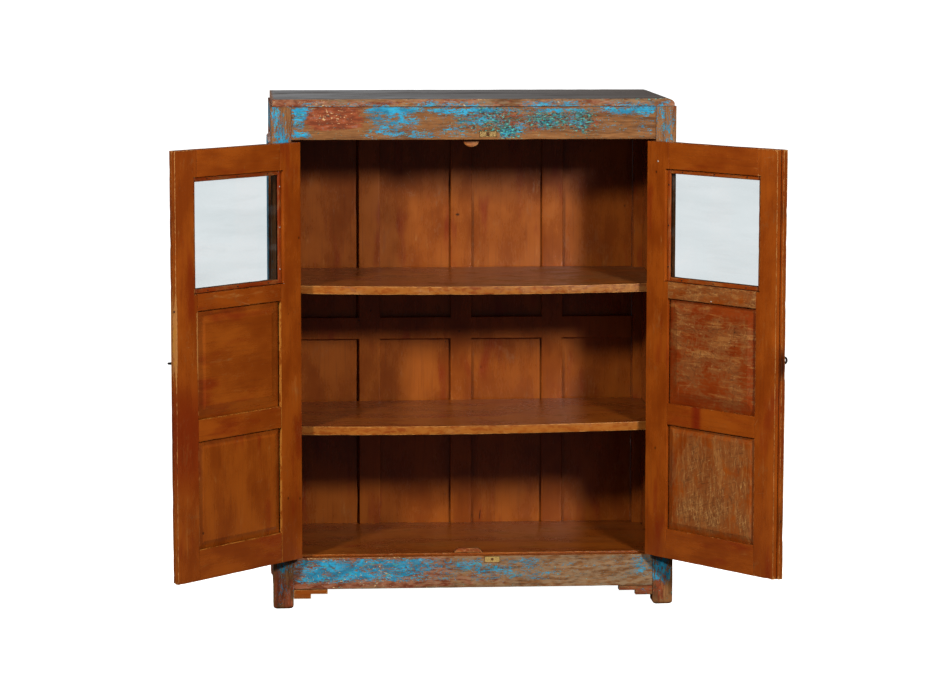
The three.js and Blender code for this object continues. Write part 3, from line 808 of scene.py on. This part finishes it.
def top():
    """The top is three planks glued edge to edge, open to the weather above."""
    low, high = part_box("top_board")

    def ridged(points):
        above = points[:, 2] > high.z - TOP_SKIN
        fine, broad = value_noise(points * (5, 260, 1), 31), value_noise(points * (9, 120, 1), 32)
        ridge = fine * 0.5 + broad * 0.5
        seam = sum(
            np.exp(-((points[:, 1] - low.y - (high.y - low.y) * share) / (1.1 * MM)) ** 2)
            for share in PLANK_SEAMS
        )
        return moved(points, 2, -(above * (0.45 * (0.5 + 0.5 * ridge) + 1.6 * seam) * MM))

    def browner(points):
        """The top is browner towards the right. Its front edge is painted, and isn't."""
        share = np.clip(share_along(points, low, high, 0) - 0.25, 0, 0.9)
        return 1.1 * share * (points[:, 2] > high.z - TOP_SKIN)

    skin = {"top": TOP, "back": RAW, "bottom": RAW, "rest": OUTSIDE}
    seams = [low.y + (high.y - low.y) * share + k * MM for share in PLANK_SEAMS for k in range(-2, 3)]
    case_piece("top_board", "x", skin, "weathered_top", cell=(14, 4), rounding=1.8, chips=1.8,
               bend=ridged, coat=top_edge_coat, cuts=[(1, seams)], scuff=browner, fade=0.6)


def worn_lip(points):
    """More wear at the right of a shelf's front edge."""
    across = (points[:, 0] - OPENING[0]) / (OPENING[1] - OPENING[0])
    return 0.4 + 0.5 * np.clip(across, 0, 1) ** 2


def shelves():
    """The two upper shelves sag at the middle of the front, and one is lower on the left."""
    low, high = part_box("upper_shelf")

    def sagging(sag, left_drop=0.0):
        def bend(points):
            u, v = (share_along(points, low, high, axis) for axis in (0, 1))
            return moved(points, 2, -(left_drop * (1 - u) + sag * 4 * u * (1 - u) * (1 - v)) * MM)
        return bend

    def handled_edge(points):
        """The front edge is paler, from hands."""
        return 1.0 + 0.34 * (points[:, 1] < low.y + 1.5 * MM)

    case_piece("upper_shelf", "x", {"rest": INSIDE}, cell=(14, 8), chips=1.6, scuff=worn_lip,
               bend=sagging(UPPER_SAG), rub=1.15, fade=handled_edge)
    case_piece("middle_shelf", "x", {"rest": INSIDE}, cell=(14, 8), chips=1.6, scuff=0.3,
               bend=sagging(MIDDLE_SAG, MIDDLE_LEAN), rub=1.1, fade=handled_edge)
    case_piece("bottom_board", "x", {"bottom": RAW}, cell=(14, 8), chips=1.2, scuff=0.4)


def back():
    """The framed back: rails and muntins in front, planks behind them. The first plank has
    shrunk away from its muntin and left a dark, wandering gap. The third one has a short split."""
    low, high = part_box("back_board_1")
    gap_at = high.x - MUNTIN_HALF - GAP_WIDTH

    def cuts_round(middle, step, reach):
        return [middle + k * step * MM for k in range(-reach, reach + 1)]

    def knotted(points):
        far = ((points[:, 0] - KNOT[0]) / (6 * MM)) ** 2 + ((points[:, 2] - KNOT[1]) / (3.5 * MM)) ** 2
        return 1.4 * np.exp(-far)

    def split(points):
        across = (points[:, 0] - SPLIT[0] - 0.1 * (points[:, 2] - SPLIT[1])) / (1.2 * MM)
        return 2.0 * np.exp(-across ** 2 - ((points[:, 2] - SPLIT[1]) / (12 * MM)) ** 4)

    def open_gap(points):
        wander = gap_at + 1.2 * MM * value_noise(points * (0, 0, 17), 41)
        front = points[:, 1] < low.y + 2 * MM
        return moved(points, 1, patch(points[:, 0], wander, 0.5 * GAP_WIDTH) * front * 5.5 * MM)

    case_piece("back_frame", "z", {"back": RAW}, cell=(16, 10), scuff=0.1, rub=0.25, chips=0.6,
               dark=knotted, cuts=[(0, cuts_round(KNOT[0], 3, 4)), (2, cuts_round(KNOT[1], 2, 4))])
    extras = {
        1: {"bend": open_gap, "cuts": [(0, cuts_round(gap_at, 0.5, 6))]},
        3: {"dark": split,
            "cuts": [(0, cuts_round(SPLIT[0], 0.8, 3)), (2, cuts_round(SPLIT[1], 3, 5))]},
    }
    for k in range(1, 5):
        case_piece(f"back_board_{k}", "z", {"back": RAW}, cell=(18, 12), scuff=0.2, rounding=0.5,
                   chips=0.1, **extras.get(k, {}))


def small_case_wood():
    def red_coat(points):
        return np.full(len(points), 0.38), np.full(len(points), 0.62)

    def flattened(points):
        return moved(points, 2, -0.2 * (points[:, 2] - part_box("bottom_door_stop")[0].z))

    case_piece("left_foot_bracket", "x", {"rest": INSIDE}, "bare_wood", cell=(6, 4), scuff=0.5,
               fade=0.6, rub=1.2)
    case_piece("right_foot_bracket", "x", {"rest": OUTSIDE}, "bare_wood", cell=(6, 4), coat=red_coat)
    case_piece("top_door_stop", "x", {"rest": INSIDE}, "bare_wood", cell=(5, 4), scuff=0.9)
    case_piece("bottom_door_stop", "x", {"rest": INSIDE}, "bare_wood", cell=(5, 4), scuff=0.9,
               fade=-0.4, bend=flattened)


# ---------------------------------------------------------------- the doors
HELD = (0.658, 0.095, 6)  # where the left stile is bare: its height, half its length and its steepness
RUBBED = (0.65, 0.08)  # where its arrises are rubbed most
REDDENED = (0.43, 0.11)  # where its face is redder
FRAME_PARTS = ("hinge_stile", "meeting_stile", "door_bottom_rail", "door_lock_rail",
               "door_glazing_rail", "door_top_rail")
BEVEL_WIDTHS = {"lower": 16 * MM, "upper": 27 * MM}
TONGUE_DEPTH = 5 * MM
BEAD_DEPTH = 5.6 * MM
BEAD_WIDTH = 9.6 * MM
NAIL_SUNK = 0.3 * MM
GLASS_LAP = 8.8 * MM  # how far the glass reaches behind the sight line
EYES = {"left": (5.0 * MM, 2.2 * MM), "right": (6.2 * MM, 2.4 * MM)}  # radii of the ring and its wire
EYE_GAP = 0.6 * MM  # between the ring and the door
DOME = ((0, 1.0), (0.35, 0.96), (0.62, 0.74), (0.78, 0.4))  # a nail head's heights and widths, in radii
METAL_SHARP = math.radians(60)


def door_piece(side, part, grain, fade=0.0, **work):
    node = f"{side}_{part}"
    skin = {"front": OUTSIDE, "rest": INSIDE}
    group = box_group([f"{side}_{p}" for p in FRAME_PARTS], POSES[side])
    lip = door_box(side, "door_glass")
    lip = (lip[0] - 5 * MM - (0, 20 * MM, 0), lip[1] + 5 * MM)
    made = board(cad_solid(node, POSES[side]), node, grain, skin, fade=fade, group=group,
                 rounding=0.7, lip=lip, **work)
    make_piece(node + "_worn", made, f"{side}_door", [node], POSES[side])


def door_panel(side, level, scuff, fade):
    """A fielded panel, whose bevels are a little deeper than the plain solid's."""
    low, high = door_box(side, f"door_{level}_panel")
    reach = BEVEL_WIDTHS[level] + TONGUE_DEPTH
    middle = (low[1] + high[1]) / 2
    cuts = [(axis, [at - 1.2 * MM, at + 1.2 * MM])
            for axis in (0, 2) for at in (low[axis] + reach, high[axis] - reach)]

    def deepen(points):
        below = high[1] - points[:, 1]
        inner = points[:, 1] > middle
        warp = 0.5 * MM * value_noise(points * (7, 7, 7), 51)
        return moved(points, 1, -(inner * (0.5 * below + np.abs(warp))))

    def border(points):
        """The distance to the nearest edge that shows."""
        return np.minimum(points - low, high - points)[:, [0, 2]].min(axis=1) - TONGUE_DEPTH

    def patchy(points):
        """Most scuffed at one height, and less beside the frame."""
        up = share_along(points, low, high, 2)
        share = 0.9 + 0.2 * patch(up, 0.25 if level == "lower" else 0.6, 0.25, 2)
        return scuff * share * (1 - 0.5 * np.exp(-np.maximum(border(points), 0) / (12 * MM)))

    door_piece(side, f"door_{level}_panel", "z" if level == "lower" else "x", cell=(8, 8),
               scuff=patchy, fade=fade, bend=deepen, cuts=cuts)


def glazing_beads(side):
    """Four thin beads nailed into the rebate, which hold the glass from inside."""
    low, high = door_box(side, "door_glass")
    face = high[1] + 0.3 * MM
    sight_low, sight_high = low + GLASS_LAP, high - GLASS_LAP
    outer_low, outer_high = sight_low - BEAD_WIDTH, sight_high + BEAD_WIDTH

    def shaded_bead_foot(points):
        """Painted shade where the bead meets the glass."""
        return 1.0 * (points[:, 1] < face + 2.4 * MM)

    strips = {
        "hinge_side": ((outer_low[0], outer_low[2]), (sight_low[0], outer_high[2]), "z"),
        "meeting_side": ((sight_high[0], outer_low[2]), (outer_high[0], outer_high[2]), "z"),
        "lower": ((sight_low[0], outer_low[2]), (sight_high[0], sight_low[2]), "x"),
        "upper": ((sight_low[0], sight_high[2]), (sight_high[0], outer_high[2]), "x"),
    }
    for name, ((x0, z0), (x1, z1), grain) in strips.items():
        gap = 0.2 * MM
        solid = box_solid((x0 + gap, face, z0 + gap), (x1 - gap, face + BEAD_DEPTH, z1 - gap))
        title = f"{side}_{name}_glazing_bead"
        # dark: painted shade at the bead's foot, next to the glass
        made = board(solid, title, grain, {"rest": INSIDE}, cell=(6, 2.4), rounding=1.7, chips=1.3,
                     scuff=0.55, fade=-0.3 if side == "right" else -0.6, rub=0.8, dark=shaded_bead_foot)
        make_piece(title, made, f"{side}_door", pose=POSES[side])
        for share in (0.13, 0.5, 0.86):
            centre = Vector(((x0 + x1) / 2, face + BEAD_DEPTH - NAIL_SUNK, (z0 + z1) / 2))
            if grain == "z":
                centre.z = z0 + (z1 - z0) * share
            else:
                centre.x = x0 + (x1 - x0) * share
            nail(f"{title}_nail_{round(share * 100)}", centre, 1.7 * MM, side,
                 metal=NAIL if title.startswith("left_hinge") else IRON)


def ring(solid, count, place):
    """New points in a closed row, each placed by a function of its angle."""
    return [solid.verts.new(place(2 * math.pi * k / count)) for k in range(count)]


def round_ring(solid, count, centre, radius):
    """A ring that lies across y."""
    return ring(solid, count, lambda a: (
        centre.x + radius * math.cos(a), centre.y, centre.z + radius * math.sin(a)))


def skin_over(solid, rows):
    """Joins each row of points to the next one with faces."""
    for here, there in zip(rows, rows[1:]):
        for k, point in enumerate(here):
            n = (k + 1) % len(here)
            solid.faces.new((point, here[n], there[n], there[k]))


def nail(name, centre, radius, side, turn=STILL, metal=NAIL):
    """A domed nail head on a door's inner face, or turned to look another way."""
    solid = bmesh.new()
    rows = [round_ring(solid, 12, Vector((0, radius * height, 0)), radius * width)
            for height, width in DOME]
    skin_over(solid, rows)
    solid.faces.new(rows[0][::-1])
    solid.faces.new(rows[-1])
    bmesh.ops.recalc_face_normals(solid, faces=solid.faces)
    solid.transform(POSES[side] @ Matrix.Translation(centre) @ turn)
    small_metal(name, solid, metal, side)


def small_metal(name, solid, metal, side, replaced=()):
    """Makes a smooth metal piece of a door from a finished solid."""
    mesh = bpy.data.meshes.new(name)
    solid.to_mesh(mesh)
    solid.free()
    mesh.shade_smooth()
    mesh.set_sharp_from_angle(angle=METAL_SHARP)
    mesh.materials.append(metal)
    settle(place_object(name, mesh), f"{side}_door", replaced)


def door(side):
    right = side == "right"

    def stile_rub(points):
        return 1.0 + (0.0 if right else 0.8) * patch(points[:, 2], *RUBBED)

    def stile_fade(points):
        """The left stile's free edge is bare where hands held it, and its face redder below."""
        if right:
            return np.zeros(len(points))
        held = patch(points[:, 2], *HELD) * (points[:, 0] > free_edge - 1.1 * MM)
        held = held * (0.7 + 0.6 * value_noise(points * (150, 150, 30), 62))
        return 1.5 * held - 0.6 * patch(points[:, 2], *REDDENED) * (held < 0.1)

    def stained(points):
        """A red stain on the right door's lock rail."""
        low, high = door_box("right", "door_lock_rail")
        return -0.9 * np.exp(-((points[:, 0] - high[0] + 0.34 * (high[0] - low[0])) / (15 * MM)) ** 4)

    def shaded_free_edge(points):
        """The right stile's free edge is darkened in broken patches: painted shade."""
        edge_low = door_box("right", "meeting_stile")[0][0]
        broken = 0.4 + 0.5 * value_noise(points * (30, 30, 12), 61)
        return broken * (points[:, 0] < edge_low + 1.5 * MM) if right else np.zeros(len(points))

    def pale_lit_edge(part, axis):
        """On the left door, the edge that looks into a panel is made pale: worn, and a painted highlight."""
        edge = door_box(side, part)[1][axis]

        # wear and painted highlight, on the left door only
        def worn(points):
            beside = (points[:, axis] > edge - 0.9 * MM) * (points[:, 2] < panels_top)
            return (0.0 if right else 1.48) * beside
        return {"fade": worn, "cuts": [(axis, [edge - 1.6 * MM])]}

    panels_top = door_box(side, "door_glazing_rail")[0][2]
    free_edge = door_box(side, "meeting_stile")[1][0]
    door_piece(side, "hinge_stile", "z", cell=(10, 7), scuff=0.12, rub=0.7,
               **pale_lit_edge("hinge_stile", 0))
    # dark: painted shade on the right stile's free edge
    door_piece(side, "meeting_stile", "z", cell=(10, 7), chips=1.8, scuff=0.2, rub=stile_rub,
               fade=stile_fade, dark=shaded_free_edge, cuts=[(0, [free_edge - 2 * MM])])
    for rail, scuff in (("bottom", 0.1), ("lock", 0.15), ("glazing", 1.0 if right else 0.35),
                        ("top", 0.05)):
        edge_look = pale_lit_edge(f"door_{rail}_rail", 2)
        if right and rail == "lock":
            edge_look["fade"] = stained
        door_piece(side, f"door_{rail}_rail", "x", cell=(10, 7), scuff=scuff, rub=0.9, **edge_look)
    door_panel(side, "lower", 0.95 if right else 0.15, 0.0 if right else 0.4)
    door_panel(side, "upper", 0.8 if right else 0.15, -0.5 if right else 0.4)
    glazing_beads(side)
    padlock_eye(side)
    stray_nails(side)


def stray_nails(side):
    """Two nails in the right door's inner face, and one in the left door's free edge."""
    if side == "right":
        high = door_box(side, "hinge_stile")[1]
        place = Vector((high[0] - 34 * MM, high[1] - NAIL_SUNK, high[2] - 43 * MM))
        nail("right_hinge_stile_nail", place, 2.2 * MM, side)
        low, high = door_box(side, "door_glazing_rail")
        place = Vector(((low[0] + high[0]) / 2, high[1] - NAIL_SUNK, low[2] + 4 * MM))
        nail("right_glazing_rail_nail", place, 1.8 * MM, side)
    else:
        high = door_box(side, "meeting_stile")[1]
        place = Vector((high[0] - 0.5 * MM, high[1] - 5 * MM, 708 * MM))
        to_edge = Matrix.Rotation(math.radians(-90), 4, "Z")
        nail("left_meeting_stile_nail", place, 2.6 * MM, side, to_edge, IRON)


def padlock_eye(side):
    """A forged ring on a thick shank. The left one lies flat, the right one stands upright."""
    radius, wire = EYES[side]
    low, high = door_box(side, "padlock_eye")
    outer_face = door_box(side, "meeting_stile")[0][1]
    centre = Vector((low + high) / 2)
    centre.y = outer_face - radius - wire - EYE_GAP
    solid = bmesh.new()
    around, section = 28, 10
    rows = []
    for turn in (2 * math.pi * k / around for k in range(around)):
        out = Vector((math.cos(turn), math.sin(turn), 0))
        thick = wire * (1 - 0.12 * (0.5 + 0.5 * math.sin(3 * turn + 1)))
        rows.append(ring(solid, section, lambda a: (
            out * (radius + thick * math.cos(a)) + Vector((0, 0, thick * math.sin(a))))))
    skin_over(solid, [*rows, rows[0]])
    if side == "right":
        solid.transform(Matrix.Rotation(math.radians(90), 4, "Y"))
    solid.transform(Matrix.Translation(centre))
    shank_start, shank_end = centre.y + radius - 1 * MM, outer_face + 1 * MM
    radii = {shank_start: 2.2, shank_end - 2.6 * MM: 2.4, shank_end - 1.8 * MM: 3.9, shank_end: 4.4}
    rows = [round_ring(solid, section, Vector((centre.x, y, centre.z)), thick * MM)
            for y, thick in radii.items()]
    skin_over(solid, rows)
    solid.faces.new(rows[0])
    solid.faces.new(rows[-1][::-1])
    bmesh.ops.recalc_face_normals(solid, faces=solid.faces)
    solid.transform(POSES[side])
    small_metal(f"{side}_padlock_eye_forged", solid, IRON, side, [f"{side}_padlock_eye"])


# ---------------------------------------------------------------- metal and glass
def finish_cad(node, material):
    for slot in frame["nodes"][node].material_slots:
        slot.material = material


def metal_and_glass():
    for side in SIDES:
        for level in ("lower", "upper"):
            for leaf in ("post", "door"):
                finish_cad(f"{side}_{level}_hinge_{leaf}_leaf", IRON)
        finish_cad(f"{side}_door_glass", GLASS)
    for level in ("top", "bottom"):
        for part in ("keeper", "bolt_plate", "bolt"):
            finish_cad(f"{level}_{part}", BRASS[level])


# ---------------------------------------------------------------- studio
CAMERA_AT = Vector((-0.5507, -7.4180, 1.5067))  # from the front plane's middle, at the floor
CAMERA_TURN = tuple(math.radians(a) for a in (4.115, 7.086, 0.055))  # right, down, roll
CAMERA_LENS = 129.73
LAMPS = {  # place from the same point, width and power
    "lamp_left": ((-2.225, -3.324, 2.275), 0.42, 88),
    "lamp_right": ((1.196, -3.400, 1.965), 0.42, 88),
    "lamp_rear_left": ((-2.6, 3.6, 2.9), 1.6, 90),
    "lamp_rear_right": ((2.9, 3.2, 2.7), 1.6, 75),
}
ROOM_LIGHT = 0.07
WHITE = (1, 1, 1, 1)
EXPOSURE, CONTRAST = 0.25, 0.85


def camera():
    yaw, pitch, roll = CAMERA_TURN
    ahead = Vector((math.sin(yaw) * math.cos(pitch), math.cos(yaw) * math.cos(pitch), -math.sin(pitch)))
    right = Vector((math.cos(yaw), -math.sin(yaw), 0))
    up = right.cross(ahead)
    turned_right = right * math.cos(roll) + up * math.sin(roll)
    turned_up = up * math.cos(roll) - right * math.sin(roll)
    data = bpy.data.cameras.new("camera")
    data.lens, data.sensor_width = CAMERA_LENS, 36
    eye = place_object("camera", data)
    axes = Matrix((turned_right, turned_up, -ahead)).transposed()
    eye.matrix_world = Matrix.Translation(ORIGIN + CAMERA_AT) @ axes.to_4x4()
    data.clip_end = 100
    bpy.context.scene.camera = eye


def lamps():
    aim = ORIGIN + Vector((0, 0.1, 0.62))
    for name, (place, width, power) in LAMPS.items():
        data = bpy.data.lights.new(name, "AREA")
        data.shape, data.size, data.energy = "DISK", width, power
        lamp = place_object(name, data)
        lamp.location = ORIGIN + Vector(place)
        lamp.rotation_euler = (aim - lamp.location).to_track_quat("-Z", "Y").to_euler()


def room():
    """White all round to the eye, and dim to everything else."""
    look = Look("white_room", bpy.data.worlds)
    white = look.add("Background", {"Color": WHITE, "Strength": 1.0})
    dim = look.add("Background", {"Color": WHITE, "Strength": ROOM_LIGHT})
    seen = look.add("LightPath").outputs["Is Camera Ray"]
    mixed = look.add("MixShader", {0: seen, 1: dim, 2: white})
    look.add("OutputWorld", {"Surface": mixed})
    bpy.context.scene.world = look.owner


def floor():
    """A pale floor that fades into the white room, and throws little light upwards."""
    look = solid_look("pale_floor")
    seen = look.add("LightPath").outputs["Is Camera Ray"]
    reach = look.add("VectorMath", {0: look.places}, operation="LENGTH").outputs["Value"]
    far = look.step(reach, 0.7, 1.6)
    glow = look.add("Emission", {"Strength": look.times(seen, 0.86)})
    matt_colour = look.mix(seen, (0.12, 0.12, 0.12, 1), (0.7, 0.7, 0.7, 1))
    matt = look.add("BsdfDiffuse", {"Color": matt_colour})
    near = look.add("AddShader", {0: matt, 1: glow})
    white = look.add("Emission", {"Strength": look.mix(seen, (ROOM_LIGHT,) * 4, WHITE)})
    total = look.add("MixShader", {0: far, 1: near, 2: white})
    look.show(total)
    sheet = bmesh.new()
    bmesh.ops.create_grid(sheet, x_segments=4, y_segments=4, size=12)
    mesh = bpy.data.meshes.new("floor")
    sheet.to_mesh(mesh)
    sheet.free()
    mesh.materials.append(look.owner)
    place_object("floor", mesh)


def colour_management():
    shown = bpy.context.scene.view_settings
    shown.view_transform = "Standard"
    shown.exposure = EXPOSURE
    shown.gamma = CONTRAST


camera()
lamps()
room()
floor()
colour_management()
posts()
rails()
top()
shelves()
back()
small_case_wood()
for side in SIDES:
    door(side)
metal_and_glass()
